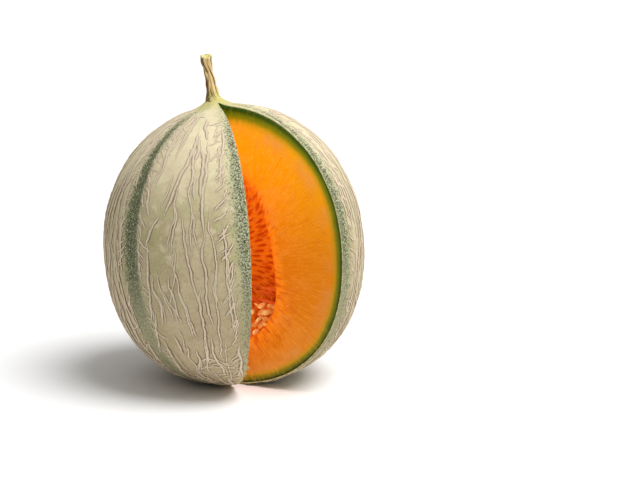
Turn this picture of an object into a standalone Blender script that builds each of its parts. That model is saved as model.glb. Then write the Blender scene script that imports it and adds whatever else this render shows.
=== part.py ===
# A netted cantaloupe melon, standing on its resting spot with one wedge cut out.
# The fruit is one solid: rind and flesh, with the seven sutures, the crown that carries the
# stem, the wedge, the open seed cavity and the flat spot on which it rests. The dry stem and
# every seed are pieces of their own. Metres, +Z up. The origin is on the resting spot, under
# the middle of the fruit. An azimuth of 0 degrees faces -Y and 90 degrees faces +X.

import math

import bmesh
import bpy
from mathutils import Matrix, Vector

# Outline of the fruit, about its own axis.
EQUATOR_RADIUS = 0.065
STEM_END_LENGTH = 0.0708  # from the equator to the stem end
BLOSSOM_END_LENGTH = 0.0697  # from the equator to the blossom end
STEM_END_FULLNESS = 2.03  # exponent of the outline: 2 is an ellipse, more is squarer
BLOSSOM_END_FULLNESS = 2.31
LEAN_LEFT = math.radians(4.85)  # how far the stem end leans to -X
LEAN_BACK = math.radians(4.13)  # and to +Y
REST_FLAT_DEPTH = 0.0015  # how much the resting spot takes off the lowest point

# Sutures: the shallow green grooves from end to end.
SUTURE_COUNT = 7
SUTURES_SET = (-49.4, 4.5, 57.5)  # azimuths of the front three; the others share the rest
SUTURE_DEPTH = 0.0011
SUTURE_HALF_WIDTH = 0.0052
SUTURE_FADE = 0.6  # exponent: how the grooves die away towards the ends

# The wedge that is cut out.
WEDGE_LEFT = math.radians(13.1)  # azimuth of each cut
WEDGE_RIGHT = math.radians(62.7)
WEDGE_APEX = (-0.0049, -0.0064)  # where the cuts meet, at the equator
WEDGE_APEX_SLOPE = (0.0446, 0.0077)  # how far that line moves for each metre up

# The seed cavity, an egg on the fruit's axis.
CAVITY_RADIUS = 0.0255
CAVITY_WIDEST = -0.009  # height of its widest place above the equator
CAVITY_UP = 0.050  # reach above and below that place
CAVITY_DOWN = 0.042

# The crown and the stem.
STEM_LENGTH = 0.0215
STEM_FOOT_RADIUS = 0.0035
STEM_WAIST_RADIUS = 0.0023
STEM_TOP_RADIUS = 0.0027
STEM_WAIST_AT = 0.78  # share of the length
STEM_FLARE = 1.6  # exponent: how soon the foot narrows
STEM_BEND = 0.0013  # how far its top lies to -X of its foot
STEM_BEND_SHAPE = 1.4  # exponent: more keeps the foot upright for longer
STEM_LEFT = math.radians(2.66)  # the stem grows this far to -X of the fruit's own axis
CROWN_REACH = 0.0120  # radius at which the crown runs out into the rind
CROWN_HEIGHT = 0.0030
CROWN_BURIED = 0.004  # how deep its closed underside lies in the fruit

# Seeds.
SEED_LENGTH = 0.0115
SEED_WIDTH = 0.0041  # across its middle
SEED_THICKNESS = 0.0018
SEED_TAPER = 0.25  # how much wider the blunt end is drawn, and narrower the pointed one
SEED_ROW_PITCH = 0.0072
SEED_ROWS = 7
SEED_LOWEST_ROW = -0.0295  # height above the equator
SEED_COLUMNS = 6
SEED_FIRST_COLUMN = math.radians(182)
SEED_COLUMN_PITCH = math.radians(31.5)
POCKET_COLUMNS = 3  # columns of two, at the cavity's foot

# Clearances between pieces that meet.
PIECE_GAP = 0.0003
WALL_GAP = 0.0006  # a seed's pointed end to the cavity wall

# Facets.
FRUIT_SEGMENTS = 84
FRUIT_RINGS = 40
CAVITY_SEGMENTS = 44
CAVITY_RINGS = 26
CROWN_STEPS = 40
CROWN_RINGS = 8
STEM_POINTS = 10
SEED_SEGMENTS = 10
SEED_RINGS = 7

# Colours: red, green, blue, then roughness.
RIND = (0.50, 0.50, 0.36, 0.75)
STEM_STRAW = (0.55, 0.40, 0.19, 0.85)
SEED_CREAM = (0.85, 0.62, 0.33, 0.35)


def clear_scene():
    for obj in list(bpy.data.objects):
        bpy.data.objects.remove(obj, do_unlink=True)


def new_collection(name):
    collection = bpy.data.collections.new(name)
    bpy.context.scene.collection.children.link(collection)
    return collection


def new_material(name, look):
    material = bpy.data.materials.new(name)
    material.use_nodes = True
    shader = material.node_tree.nodes["Principled BSDF"]
    shader.inputs["Base Color"].default_value = (*look[:3], 1)
    shader.inputs["Roughness"].default_value = look[3]
    shader.inputs["Metallic"].default_value = 0
    return material


def new_object(name, mesh, collection, parent=None):
    obj = bpy.data.objects.new(name, mesh)
    collection.objects.link(obj)
    obj.parent = parent
    return obj


def sphere_mesh(name, segments, rings, place):
    """A sphere primitive whose unit directions are moved by place(direction)."""
    shape = bmesh.new()
    bmesh.ops.create_uvsphere(shape, u_segments=segments, v_segments=rings, radius=1)
    for vertex in shape.verts:
        vertex.co = place(vertex.co.normalized())
    mesh = bpy.data.meshes.new(name)
    shape.to_mesh(mesh)
    shape.free()
    mesh.shade_smooth()
    return mesh


def as_mesh(curve_object, collection, parent=None):
    """The curve object made a mesh with welded caps, in its place."""
    bpy.context.view_layer.update()
    evaluated = curve_object.evaluated_get(bpy.context.evaluated_depsgraph_get())
    mesh = bpy.data.meshes.new_from_object(evaluated)
    shape = bmesh.new()
    shape.from_mesh(mesh)
    bmesh.ops.remove_doubles(shape, verts=shape.verts, dist=0.00001)
    shape.to_mesh(mesh)
    shape.free()
    name = curve_object.name
    bpy.data.objects.remove(curve_object)
    return new_object(name, mesh, collection, parent)


def direction_at(azimuth):
    return Vector((math.sin(azimuth), -math.cos(azimuth), 0))


def suture_azimuths():
    """The stated sutures, and the others spaced evenly over what they leave."""
    stated = [math.radians(azimuth) for azimuth in SUTURES_SET]
    others = SUTURE_COUNT - len(stated)
    step = (stated[0] + math.tau - stated[-1]) / (others + 1)
    return stated + [stated[-1] + step * (i + 1) for i in range(others)]


def end_of(up):
    """Length and fullness of the stem end, or of the blossom end."""
    if up:
        return STEM_END_LENGTH, STEM_END_FULLNESS
    return BLOSSOM_END_LENGTH, BLOSSOM_END_FULLNESS


def fruit_radius(height):
    length, fullness = end_of(height > 0)
    share = min(abs(height) / length, 1)
    return EQUATOR_RADIUS * (1 - share**fullness) ** (1 / fullness)


def crown_base(radius):
    """Height of the fruit's stem end at this distance from its axis."""
    share = radius / EQUATOR_RADIUS
    return STEM_END_LENGTH * (1 - share**STEM_END_FULLNESS) ** (1 / STEM_END_FULLNESS)


def groove(azimuth, latitude, sutures):
    """How deep the sutures cut here. They narrow and fade towards the ends."""
    sigma = SUTURE_HALF_WIDTH / EQUATOR_RADIUS / 2
    total = 0
    for suture in sutures:
        off = (azimuth - suture + math.pi) % math.tau - math.pi
        total += math.exp(-0.5 * (off / sigma) ** 2)
    return SUTURE_DEPTH * total * math.cos(latitude) ** SUTURE_FADE


def fruit_place(sutures):
    def place(direction):
        latitude = math.asin(max(-1, min(1, direction.z)))
        length, fullness = end_of(direction.z > 0)
        around = max(math.cos(latitude), 0) ** (2 / fullness)
        along = abs(direction.z) ** (2 / fullness)
        azimuth = math.atan2(direction.x, -direction.y)
        radius = EQUATOR_RADIUS * around - groove(azimuth, latitude, sutures)
        spot = direction_at(azimuth) * max(radius, 0)
        spot.z = math.copysign(length * along, direction.z)
        return spot

    return place


def rest_height():
    """Height of the fruit's middle above the floor when it leans as set."""
    upright = math.cos(LEAN_LEFT) * math.cos(LEAN_BACK)
    aside = math.sqrt(1 - upright**2)
    steps = 400
    heights = [BLOSSOM_END_LENGTH * i / steps for i in range(steps + 1)]
    reach = max(h * upright + fruit_radius(-h) * aside for h in heights)
    return reach - REST_FLAT_DEPTH


def crown_seat():
    """Radius and height of the flat on which the stem stands."""
    radius = STEM_FOOT_RADIUS + PIECE_GAP
    return radius, crown_base(radius) + CROWN_HEIGHT


def crown_solid(collection, parent):
    """The flare that rises from the rind to the stem: a turned profile, closed inside the fruit."""
    seat_radius, seat_height = crown_seat()
    outline = [(0, seat_height)]
    for i in range(CROWN_RINGS + 1):
        share = i / CROWN_RINGS
        radius = seat_radius + (CROWN_REACH - seat_radius) * share
        rise = CROWN_HEIGHT * (1 - share) ** 2
        outline.append((radius, crown_base(radius) + rise))
    underside = crown_base(CROWN_REACH) - CROWN_BURIED
    outline.append((CROWN_REACH, underside))
    outline.append((0, underside))
    shape = bmesh.new()
    corners = [shape.verts.new((radius, 0, height)) for radius, height in outline]
    for first, second in zip(corners, corners[1:]):
        shape.edges.new((first, second))
    mesh = bpy.data.meshes.new("crown")
    shape.to_mesh(mesh)
    shape.free()
    crown = new_object("crown", mesh, collection, parent)
    turn = crown.modifiers.new("turn", "SCREW")
    turn.steps = CROWN_STEPS
    turn.render_steps = CROWN_STEPS
    turn.use_merge_vertices = True
    turn.merge_threshold = 0.00001
    turn.use_normal_calculate = True
    return crown


def wedge_cutter(collection, parent):
    """A prism with its edge along the line where the two cuts meet."""
    reach = EQUATOR_RADIUS * 2
    tall = STEM_END_LENGTH + BLOSSOM_END_LENGTH
    outline = bpy.data.curves.new("wedge", "CURVE")
    outline.dimensions = "2D"
    outline.fill_mode = "BOTH"
    outline.extrude = tall
    apex = Vector((*WEDGE_APEX, 0))
    corners = [apex, apex + direction_at(WEDGE_LEFT) * reach, apex + direction_at(WEDGE_RIGHT) * reach]
    line = outline.splines.new("POLY")
    line.points.add(len(corners) - 1)
    for point, corner in zip(line.points, corners):
        point.co = (*corner, 1)
    line.use_cyclic_u = True
    wedge = as_mesh(new_object("wedge", outline, collection), collection, parent)
    for vertex in wedge.data.vertices:
        vertex.co.x += WEDGE_APEX_SLOPE[0] * vertex.co.z
        vertex.co.y += WEDGE_APEX_SLOPE[1] * vertex.co.z
    return wedge


def cavity_reach(up):
    return CAVITY_UP if up else CAVITY_DOWN


def cavity_cutter(collection, parent):
    def place(direction):
        spot = Vector((direction.x, direction.y, 0)) * CAVITY_RADIUS
        spot.z = CAVITY_WIDEST + direction.z * cavity_reach(direction.z > 0)
        return spot

    mesh = sphere_mesh("cavity", CAVITY_SEGMENTS, CAVITY_RINGS, place)
    return new_object("cavity", mesh, collection, parent)


def floor_cutter(collection):
    """A block whose top is the floor."""
    side = EQUATOR_RADIUS * 4
    shape = bmesh.new()
    bmesh.ops.create_cube(shape, size=side)
    bmesh.ops.translate(shape, verts=shape.verts, vec=(0, 0, -side / 2))
    mesh = bpy.data.meshes.new("floor_block")
    shape.to_mesh(mesh)
    shape.free()
    return new_object("floor_block", mesh, collection)


def boolean(obj, other, operation):
    other.hide_render = True
    other.display_type = "WIRE"
    step = obj.modifiers.new(other.name, "BOOLEAN")
    step.object = other
    step.operation = operation
    step.solver = "EXACT"


def build_fruit(parts, cutters, melon, stem_axis):
    place = fruit_place(suture_azimuths())
    mesh = sphere_mesh("melon_fruit", FRUIT_SEGMENTS, FRUIT_RINGS, place)
    mesh.materials.append(new_material("rind", RIND))
    fruit = new_object("melon_fruit", mesh, parts, melon)
    boolean(fruit, crown_solid(cutters, stem_axis), "UNION")
    boolean(fruit, wedge_cutter(cutters, melon), "DIFFERENCE")
    boolean(fruit, cavity_cutter(cutters, melon), "DIFFERENCE")
    boolean(fruit, floor_cutter(cutters), "DIFFERENCE")
    return fruit


def stem_radius(share):
    """From the flared foot in to the waist, and out again to the knobbed end."""
    if share < STEM_WAIST_AT:
        rest = 1 - share / STEM_WAIST_AT
        return STEM_WAIST_RADIUS + (STEM_FOOT_RADIUS - STEM_WAIST_RADIUS) * rest**STEM_FLARE
    rest = (share - STEM_WAIST_AT) / (1 - STEM_WAIST_AT)
    return STEM_WAIST_RADIUS + (STEM_TOP_RADIUS - STEM_WAIST_RADIUS) * rest


def build_stem(parts, stem_axis):
    curve = bpy.data.curves.new("stem", "CURVE")
    curve.dimensions = "3D"
    curve.bevel_depth = 1
    curve.bevel_resolution = 4
    curve.use_fill_caps = True
    line = curve.splines.new("POLY")
    line.points.add(STEM_POINTS - 1)
    foot = crown_seat()[1] + PIECE_GAP
    for i, point in enumerate(line.points):
        share = i / (STEM_POINTS - 1)
        bend = math.sin(share * math.pi / 2) ** STEM_BEND_SHAPE
        point.co = (-STEM_BEND * bend, 0, foot + STEM_LENGTH * share, 1)
        point.radius = stem_radius(share)
    curve.materials.append(new_material("stem", STEM_STRAW))
    return new_object("stem", curve, parts, stem_axis)


def seed_mesh():
    """A flat drop, pointed at -Z, with its origin at the point."""

    def place(direction):
        taper = 1 + SEED_TAPER * direction.z
        return Vector(
            (
                direction.x * SEED_WIDTH / 2 * taper,
                direction.y * SEED_THICKNESS / 2,
                (direction.z + 1) * SEED_LENGTH / 2,
            )
        )

    mesh = sphere_mesh("seed", SEED_SEGMENTS, SEED_RINGS, place)
    mesh.materials.append(new_material("seed", SEED_CREAM))
    return mesh


def cavity_wall(azimuth, height):
    """A point of the cavity wall at this height, and the direction out of the wall there."""
    off = height - CAVITY_WIDEST
    reach = cavity_reach(off > 0)
    radius = CAVITY_RADIUS * math.sqrt(max(0, 1 - (off / reach) ** 2))
    spot = direction_at(azimuth) * radius
    spot.z = height
    inward = -direction_at(azimuth) * radius / CAVITY_RADIUS**2
    inward.z = -off / reach**2
    return spot, inward.normalized()


def seed_places():
    """(azimuth, height) of each seed: columns round the back of the cavity, staggered row by
    row, then the pocket at the cavity's foot behind the right-hand cut."""
    places = []
    for column in range(SEED_COLUMNS):
        azimuth = SEED_FIRST_COLUMN + column * SEED_COLUMN_PITCH
        stagger = SEED_ROW_PITCH / 2 * (column % 2)
        for row in range(SEED_ROWS):
            places.append((azimuth, SEED_LOWEST_ROW + stagger + row * SEED_ROW_PITCH))
    pocket_start = SEED_FIRST_COLUMN - SEED_COLUMN_PITCH
    for step in range(POCKET_COLUMNS):
        azimuth = pocket_start - step * SEED_COLUMN_PITCH
        stagger = SEED_ROW_PITCH / 2 * ((step + 1) % 2)
        places.append((azimuth, SEED_LOWEST_ROW + stagger))
        places.append((azimuth, SEED_LOWEST_ROW + stagger - SEED_ROW_PITCH))
    return places


def build_seeds(parts, melon):
    mesh = seed_mesh()
    for number, (azimuth, height) in enumerate(seed_places(), 1):
        seed = new_object(f"seed_{number:02d}", mesh, parts, melon)
        spot, inward = cavity_wall(azimuth, height)
        across = Vector((math.cos(azimuth), math.sin(azimuth), 0))
        turn = Matrix((across, inward.cross(across), inward)).transposed()
        seed.location = spot + inward * WALL_GAP
        seed.rotation_euler = turn.to_euler()


def main():
    clear_scene()
    parts = new_collection("cantaloupe_melon")
    cutters = new_collection("cutters")
    melon = new_object("melon_axis", None, parts)
    melon.location = (0, 0, rest_height())
    melon.rotation_euler = (-LEAN_BACK, -LEAN_LEFT, 0)
    stem_axis = new_object("stem_axis", None, parts, melon)
    stem_axis.rotation_euler = (0, -STEM_LEFT, 0)
    build_fruit(parts, cutters, melon, stem_axis)
    build_stem(parts, stem_axis)
    build_seeds(parts, melon)


main()
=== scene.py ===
import math

import bmesh
import bpy
import numpy as np
from mathutils import Euler, Matrix, Vector


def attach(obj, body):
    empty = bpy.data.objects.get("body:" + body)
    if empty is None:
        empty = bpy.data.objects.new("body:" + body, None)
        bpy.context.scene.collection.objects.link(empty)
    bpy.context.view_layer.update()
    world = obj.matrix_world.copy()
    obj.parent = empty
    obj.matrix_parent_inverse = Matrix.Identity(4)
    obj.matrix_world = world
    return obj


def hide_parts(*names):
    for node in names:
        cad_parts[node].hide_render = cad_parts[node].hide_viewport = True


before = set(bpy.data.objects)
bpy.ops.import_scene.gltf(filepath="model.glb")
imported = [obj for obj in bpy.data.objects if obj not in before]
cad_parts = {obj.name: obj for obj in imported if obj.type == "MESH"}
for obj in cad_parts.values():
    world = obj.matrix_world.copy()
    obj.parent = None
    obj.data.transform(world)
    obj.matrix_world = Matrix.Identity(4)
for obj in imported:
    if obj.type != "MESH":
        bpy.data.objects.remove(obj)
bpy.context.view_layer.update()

scene = bpy.context.scene


class Wire:  # one node output, so that node maths reads as plain maths
    def __init__(self, tree, socket):
        self.tree = tree
        self.socket = socket

    def maths(self, operation, *values):
        node = self.tree.nodes.new("ShaderNodeMath")
        node.operation = operation
        for place, value in enumerate(values):
            plug(self.tree, node.inputs[place], value)
        return Wire(self.tree, node.outputs[0])

    def __add__(self, other):
        return self.maths("ADD", self, other)

    def __radd__(self, other):
        return self.maths("ADD", other, self)

    def __sub__(self, other):
        return self.maths("SUBTRACT", self, other)

    def __rsub__(self, other):
        return self.maths("SUBTRACT", other, self)

    def __mul__(self, other):
        return self.maths("MULTIPLY", self, other)

    def __rmul__(self, other):
        return self.maths("MULTIPLY", other, self)

    def __truediv__(self, other):
        return self.maths("DIVIDE", self, other)

    def __rtruediv__(self, other):
        return self.maths("DIVIDE", other, self)

    def __pow__(self, other):
        return self.maths("POWER", self, other)

    def __abs__(self):
        return self.maths("ABSOLUTE", self)

    def most(self, other):
        return self.maths("MAXIMUM", self, other)


def plug(tree, socket, value):
    if isinstance(value, Wire):
        tree.links.new(value.socket, socket)
    else:
        socket.default_value = value


class Book:  # a node tree that is written in lines
    def __init__(self, tree):
        self.tree = tree

    def node(self, kind, settings=None, inputs=None):
        made = self.tree.nodes.new(kind)
        for name, value in (settings or {}).items():
            setattr(made, name, value)
        for name, value in (inputs or {}).items():
            plug(self.tree, made.inputs[name], value)
        return made

    def wire(self, kind, settings=None, inputs=None, output=0):
        return Wire(self.tree, self.node(kind, settings, inputs).outputs[output])

    def attribute(self, name):
        return self.wire("ShaderNodeAttribute", {"attribute_name": name}, output="Fac")

    def noise(self, place, scale, detail=3.0, roughness=0.6, distortion=0.0, output=0):
        inputs = {"Vector": place, "Scale": scale, "Detail": detail,
                  "Roughness": roughness, "Distortion": distortion}
        return self.wire("ShaderNodeTexNoise", None, inputs, output)

    def cells(self, place, scale):
        return self.wire("ShaderNodeTexVoronoi", None, {"Vector": place, "Scale": scale}, "Distance")

    def smooth(self, value, low, high, fromValue=0.0, toValue=1.0):
        inputs = {"Value": value, "From Min": low, "From Max": high,
                  "To Min": fromValue, "To Max": toValue}
        return self.wire("ShaderNodeMapRange", {"interpolation_type": "SMOOTHSTEP"}, inputs)

    def stretch(self, place, scale):
        return self.wire("ShaderNodeMapping", None, {"Vector": place, "Scale": scale})

    def bump(self, height, distance, strength):
        inputs = {"Height": height, "Distance": distance, "Strength": strength}
        return self.wire("ShaderNodeBump", None, inputs)

    def vector(self, operation, first, second):
        place = "Scale" if operation == "SCALE" else 1
        return self.wire("ShaderNodeVectorMath", {"operation": operation}, {0: first, place: second})

    def parts(self, vector):
        node = self.node("ShaderNodeSeparateXYZ", None, {0: vector})
        return [Wire(self.tree, output) for output in node.outputs]

    def joined(self, parts):
        return self.wire("ShaderNodeCombineXYZ", None, parts)


class Finish(Book):  # a material, with a dictionary in which colours are looked up by name
    def __init__(self, name, colours):
        self.colours = colours
        self.material = bpy.data.materials.new(name)
        self.material.use_nodes = True
        super().__init__(self.material.node_tree)
        self.place = self.wire("ShaderNodeTexCoord", output="Object")

    def mix(self, share, first, second, blend="MIX"):
        inputs = {0: share}
        for place, end in ((6, first), (7, second)):
            end = self.colours[end] if isinstance(end, str) else end
            inputs[place] = (*end, 1) if isinstance(end, tuple) else end
        return self.wire("ShaderNodeMix", {"data_type": "RGBA", "blend_type": blend}, inputs, 2)

    def paint(self, colour, *coats):  # lays coats over a colour, each as thick as its share
        for share, coat in coats:
            colour = self.mix(share, colour, coat)
        return colour

    def feed(self, inputs):
        shader = self.tree.nodes["Principled BSDF"]
        for name, value in inputs.items():
            plug(self.tree, shader.inputs[name], value)
        return self.material


def tint(red, green, blue):  # a colour as it looks on screen, made linear for the shader
    return tuple((c / 255 / 12.92) if c < 10.3 else ((c / 255 + 0.055) / 1.055) ** 2.4
                 for c in (red, green, blue))


def clamp(values):
    return np.clip(values, 0, 1)


# The fruit's outline about its own axis, and how it leans on its resting spot.
melon = {
    "equatorRadius": 0.065,
    "stemEnd": 0.0708,
    "blossomEnd": 0.0697,
    "stemFullness": 2.03,
    "blossomFullness": 2.31,
    "leanLeft": math.radians(4.85),
    "leanBack": math.radians(4.13),
    "restFlat": 0.0015,
    "sutureCount": 7,
    "frontSutures": (-49.4, 4.5, 57.5),
    "sutureDepth": 0.0011,
    "sutureHalfWidth": 0.0052,
    "crownReach": 0.012,
    "crownSeat": 0.0038,
    "crownHeight": 0.003,
    "stemLeft": math.radians(2.66),  # the stem grows this far to -X of the fruit's own axis
}
wedge = {
    "left": math.radians(13.1),
    "right": math.radians(62.7),
    "apex": (-0.0049, -0.0064),
    "apexSlope": (0.0446, 0.0077),
}
cavity = {
    "radius": 0.0255,
    "widest": -0.009,
    "up": 0.05,
    "down": 0.042,
    "pocketBulge": 0.22,  # how much wider the cavity is at the seed pocket, behind the right-hand cut
    "pocketHeight": -0.037,
    "pocketTall": 0.013,
    "pocketTurn": math.radians(70),
    "pocketSpread": math.radians(34),
    "lip": 0.0032,  # radius of the soft edge where a cut meets the cavity
}


def restHeight():
    upright = math.cos(melon["leanLeft"]) * math.cos(melon["leanBack"])
    height = np.linspace(0, melon["blossomEnd"], 401)
    share = height / melon["blossomEnd"]
    fullness = melon["blossomFullness"]
    radius = melon["equatorRadius"] * (1 - share**fullness) ** (1 / fullness)
    return float(np.max(height * upright + radius * math.sqrt(1 - upright**2))) - melon["restFlat"]


lean = Euler((-melon["leanBack"], -melon["leanLeft"], 0)).to_matrix().to_4x4()
stand = Matrix.Translation((0, 0, restHeight())) @ lean
standing = np.array(stand)


def toFloor(points):  # from the fruit's own frame to where it stands, flat where it rests
    placed = points @ standing[:3, :3].T + standing[:3, 3]
    placed[..., 2] = np.maximum(placed[..., 2], 0)
    return placed


def sutureAzimuths():
    stated = [math.radians(a) for a in melon["frontSutures"]]
    others = melon["sutureCount"] - len(stated)
    step = (stated[0] + math.tau - stated[-1]) / (others + 1)
    return np.array(stated + [stated[-1] + step * (i + 1) for i in range(others)])


sutures = sutureAzimuths()


def offSuture(azimuth):  # signed angle to the nearest suture
    off = (np.asarray(azimuth)[..., None] - sutures + math.pi) % math.tau - math.pi
    nearest = np.argmin(np.abs(off), axis=-1)
    return np.take_along_axis(off, nearest[..., None], axis=-1)[..., 0], nearest


def grooveDepth(azimuth, sine):
    sigma = melon["sutureHalfWidth"] / melon["equatorRadius"] / 2
    off, _ = offSuture(azimuth)
    fade = clamp(1 - np.asarray(sine) ** 2) ** 0.3
    return melon["sutureDepth"] * np.exp(-0.5 * (off / sigma) ** 2) * fade


def crownRise(radius):
    share = (radius - melon["crownSeat"]) / (melon["crownReach"] - melon["crownSeat"])
    return melon["crownHeight"] * (1 - clamp(share)) ** 2


def fromStem(points):  # distance from the stem's own axis
    return np.hypot(points[..., 0] + points[..., 2] * math.tan(melon["stemLeft"]), points[..., 1])


def aroundAxis(points):  # azimuth, which is 0 at the front and grows to the right, and radius
    return np.arctan2(points[..., 0], -points[..., 1]), np.hypot(points[..., 0], points[..., 1])


def heading(turn):  # the level direction at this azimuth
    return np.array((math.sin(turn), -math.cos(turn), 0))


def halfShape(up):  # length and fullness of the upper or the lower half
    return (np.where(up, melon["stemEnd"], melon["blossomEnd"]),
            np.where(up, melon["stemFullness"], melon["blossomFullness"]))


def skinLevel(points):  # 0 on the skin, below 0 inside
    azimuth, radius = aroundAxis(points)
    height = points[..., 2]
    up = height > 0
    height = np.where(up, np.maximum(height - crownRise(fromStem(points)), 0), height)
    length, fullness = halfShape(up)
    share = np.clip(np.abs(height) / length, 0, 3)
    around = (radius + grooveDepth(azimuth, clamp(share))) / melon["equatorRadius"]
    return (around**fullness + share**fullness) ** (1 / fullness) - 1


def cavityLevel(points):
    azimuth, radius = aroundAxis(points)
    off = points[..., 2] - cavity["widest"]
    reach = np.where(off > 0, cavity["up"], cavity["down"])
    aside = (azimuth - cavity["pocketTurn"]) / cavity["pocketSpread"]
    along = (points[..., 2] - cavity["pocketHeight"]) / cavity["pocketTall"]
    bulge = 1 + cavity["pocketBulge"] * np.exp(-0.5 * (aside**2 + along**2))
    return np.hypot(radius / cavity["radius"] / bulge, off / reach) - 1


def slope(level, points, step=1e-5):
    parts = []
    for axis in range(3):
        move = np.zeros(3)
        move[axis] = step
        parts.append((level(points + move) - level(points - move)) / (2 * step))
    return np.stack(parts, axis=-1)


def depthBelow(level, points):  # about how far inside the surface, in metres
    grade = np.linalg.norm(slope(level, points), axis=-1)
    return -level(points) / np.maximum(grade, 1e-6)


# Everything that the cuts bound is laid out on rays from one point of the line where they meet.
heart = np.array((*wedge["apex"], 0.0))
upLine = np.array((*wedge["apexSlope"], 1.0))
upLine /= np.linalg.norm(upLine)


def rays(turns, tilts):
    aside = np.stack([np.sin(turns), -np.cos(turns), np.zeros_like(turns)], axis=-1)
    return (np.cos(tilts)[:, None, None] * aside[None] +
            np.sin(tilts)[:, None, None] * upLine[None, None])


def reachAlong(level, directions, farthest=0.12):
    near = np.zeros(directions.shape[:-1])
    far = np.full(directions.shape[:-1], farthest)
    for _ in range(34):
        middle = (near + far) / 2
        inside = level(heart + directions * middle[..., None]) < 0
        near = np.where(inside, middle, near)
        far = np.where(inside, far, middle)
    return (near + far) / 2


wedgeMiddle = (wedge["left"] + wedge["right"]) / 2


def cutInward(turn):  # the direction into the flesh from the cut at this azimuth
    inward = np.cross(heading(turn), upLine)
    inward /= np.linalg.norm(inward)
    return -inward if inward @ heading(wedgeMiddle) > 0 else inward


def wedgeTurns(count, crowding=0.0):  # crowding packs the columns towards the two cuts
    share = np.linspace(0, 1, count)
    share = share - crowding * np.sin(math.tau * share) / math.tau
    return wedge["right"] + (wedge["left"] + math.tau - wedge["right"]) * share


def tiltRows(count):
    return np.linspace(-math.pi / 2, math.pi / 2, count)


def gridFaces(rows, columns, start=0, flip=False):
    corner = (np.arange(rows - 1)[:, None] * columns + np.arange(columns - 1)[None]) + start
    quads = np.stack([corner, corner + 1, corner + columns + 1, corner + columns], axis=-1)
    quads = quads.reshape(-1, 4)
    return quads[:, ::-1] if flip else quads


def setAttribute(mesh, name, values, kind="FLOAT"):
    data = mesh.attributes.new(name, kind, "POINT").data
    data.foreach_set("value" if kind == "FLOAT" else "vector", np.asarray(values, np.float32).ravel())


def meshFrom(name, points, faces, attributes, uv=None):
    mesh = bpy.data.meshes.new(name)
    mesh.from_pydata(points.reshape(-1, 3).tolist(), [], faces.tolist())
    for key, values in attributes.items():
        setAttribute(mesh, key, values)
    if uv is not None:
        corners = np.empty(len(mesh.loops), np.int32)
        mesh.loops.foreach_get("vertex_index", corners)
        layer = mesh.uv_layers.new(name="UVMap").data
        layer.foreach_set("uv", uv[corners].astype(np.float32).ravel())
    return mesh


def newObject(name, data):
    made = bpy.data.objects.new(name, data)
    scene.collection.objects.link(made)
    return made


def addPiece(mesh, replaced=(), material=None):
    piece = newObject(mesh.name, mesh)
    if material is not None:
        mesh.materials.append(material)
    mesh.shade_smooth()
    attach(piece, "root")
    if replaced:
        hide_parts(*replaced)
    print(piece.name, len(mesh.polygons), "faces")
    return piece


def cleaned(mesh, within=0.000002):
    shape = bmesh.new()
    shape.from_mesh(mesh)
    bmesh.ops.remove_doubles(shape, verts=shape.verts, dist=within)
    bmesh.ops.dissolve_degenerate(shape, edges=shape.edges, dist=within / 4)
    bmesh.ops.recalc_face_normals(shape, faces=shape.faces)
    shape.to_mesh(mesh)
    shape.free()
    return mesh


class GeometryBook(Book):  # a Geometry Nodes tree; sizes with a capital letter are its inputs
    def __init__(self, name, sizes):
        tree = bpy.data.node_groups.new(name, "GeometryNodeTree")
        super().__init__(tree)
        tree.interface.new_socket("Geometry", in_out="INPUT", socket_type="NodeSocketGeometry")
        self.sizes = {}  # by the identifier of each socket
        for key, value in sizes.items():
            if key[0].isupper():
                socket = tree.interface.new_socket(key, in_out="INPUT", socket_type="NodeSocketFloat")
                self.sizes[socket.identifier] = value
        tree.interface.new_socket("Geometry", in_out="OUTPUT", socket_type="NodeSocketGeometry")
        self.start = tree.nodes.new("NodeGroupInput")

    def given(self, key):
        return Wire(self.tree, self.start.outputs[key])

    def named(self, key, kind="FLOAT"):
        settings = {"data_type": kind}
        return self.wire("GeometryNodeInputNamedAttribute", settings, {"Name": key}, "Attribute")

    def stored(self, geometry, key, value, kind="FLOAT"):
        return self.wire("GeometryNodeStoreNamedAttribute", {"data_type": kind, "domain": "POINT"},
                         {"Geometry": geometry, "Name": key, "Value": value})

    def position(self):
        return self.wire("GeometryNodeInputPosition")

    def moved(self, geometry, inputs):
        return self.wire("GeometryNodeSetPosition", None, {"Geometry": geometry, **inputs})

    def finish(self, geometry, material):
        real = self.wire("GeometryNodeRealizeInstances", None, {"Geometry": geometry})
        dressed = self.wire("GeometryNodeSetMaterial", None, {"Geometry": real, "Material": material})
        plug(self.tree, self.tree.nodes.new("NodeGroupOutput").inputs[0], dressed)

    def grow(self, name, mesh):  # runs the tree on a mesh and keeps the result as a plain mesh
        carrier = newObject(name, mesh)
        step = carrier.modifiers.new(name, "NODES")
        step.node_group = self.tree
        for identifier, value in self.sizes.items():
            step[identifier] = value
        bpy.context.view_layer.update()
        evaluated = carrier.evaluated_get(bpy.context.evaluated_depsgraph_get())
        grown = bpy.data.meshes.new_from_object(evaluated)
        grown.name = name
        bpy.data.objects.remove(carrier)
        return grown


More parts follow.
